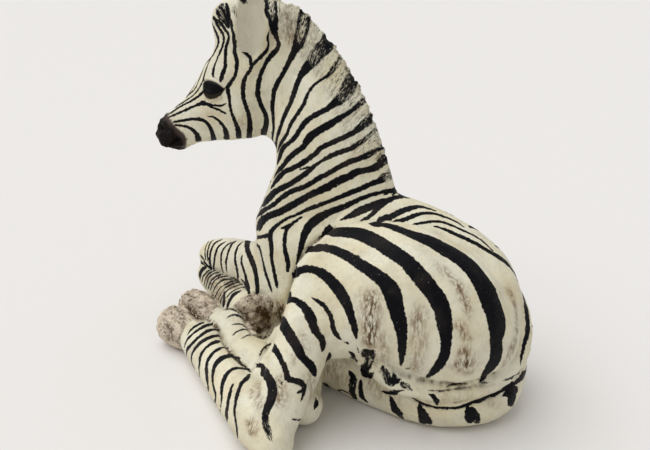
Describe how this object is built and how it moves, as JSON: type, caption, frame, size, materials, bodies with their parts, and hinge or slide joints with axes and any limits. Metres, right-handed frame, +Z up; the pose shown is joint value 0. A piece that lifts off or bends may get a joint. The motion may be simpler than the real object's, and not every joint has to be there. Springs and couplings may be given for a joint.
{
  "type": "animal figurine",
  "caption": "Ceramic zebra foal lying down with its head raised and turned to its left, cream with hand-painted black stripes, standing on its own flat underside.",
  "frame": {"origin": "on the flat underside, below the belly and just behind the chest", "axes": "+Z up, -X towards the front of the foal, -Y towards its left side, where both hind legs lie"},
  "size_m": [0.3063, 0.2122, 0.2699],
  "materials": {
    "painted_ceramic": "hand-painted cream ceramic with black brush stripes, satin"
  },
  "bodies": {
    "root": {"zebra_foal": "painted_ceramic"}
  },
  "joints": []
}
